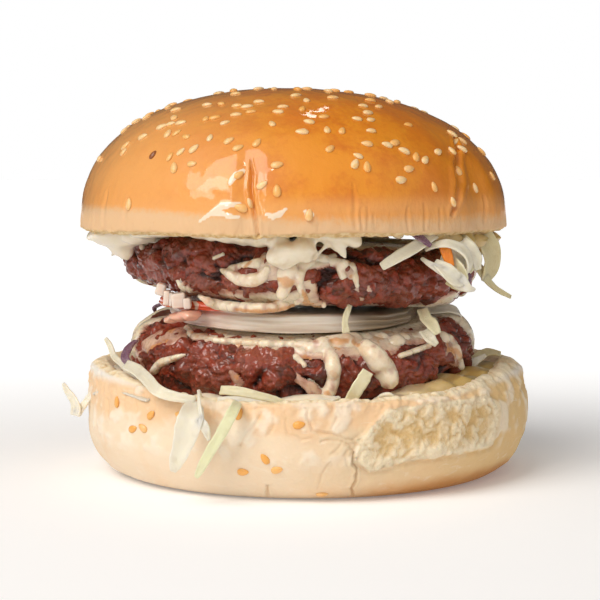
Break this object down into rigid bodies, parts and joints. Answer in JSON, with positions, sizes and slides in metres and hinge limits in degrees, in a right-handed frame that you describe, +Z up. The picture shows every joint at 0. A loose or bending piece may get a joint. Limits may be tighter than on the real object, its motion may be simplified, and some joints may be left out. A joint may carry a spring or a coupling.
{
  "type": "double cheeseburger",
  "caption": "Tall cheeseburger in a glossy sesame bun, with beef patties under melted cheese, onion, tomato, cream sauce and shredded cabbage hanging out of it.",
  "frame": {"origin": "middle of the flat spot that the bun heel stands on, at the plate", "axes": "+Z up through the stack, -Y towards the viewer's side with the torn patch of the heel, +X to that viewer's right"},
  "size_m": [0.1198, 0.1172, 0.0978],
  "materials": {
    "golden_crust": "glossy golden-orange baked glaze with pale sesame seeds",
    "pale_bun": "matte cream bread with a lightly browned foot and a torn, porous patch",
    "beef": "coarse, moist, dark reddish-brown grilled mince",
    "cheese": "soft, glossy, creamy melted cheese with browned specks",
    "onion": "wet, translucent off-white",
    "tomato": "wet red",
    "sauce": "glossy cream",
    "cabbage": "semi-gloss cream to pale green shreds, some purple, with a piece of carrot"
  },
  "bodies": {
    "root": {"bun_crown": "golden_crust", "bun_heel": "pale_bun", "patty_upper": "beef", "patty_lower": "beef", "cheese_upper": "cheese", "cheese_middle": "cheese", "cheese_lower": "cheese", "onion_slice": "onion", "onion_end": "onion", "tomato_slice": "tomato", "tomato_wedge": "tomato", "sauce_top": "sauce", "sauce_bed": "sauce", "slaw_top": "cabbage", "slaw_bed": "cabbage"}
  },
  "joints": []
}
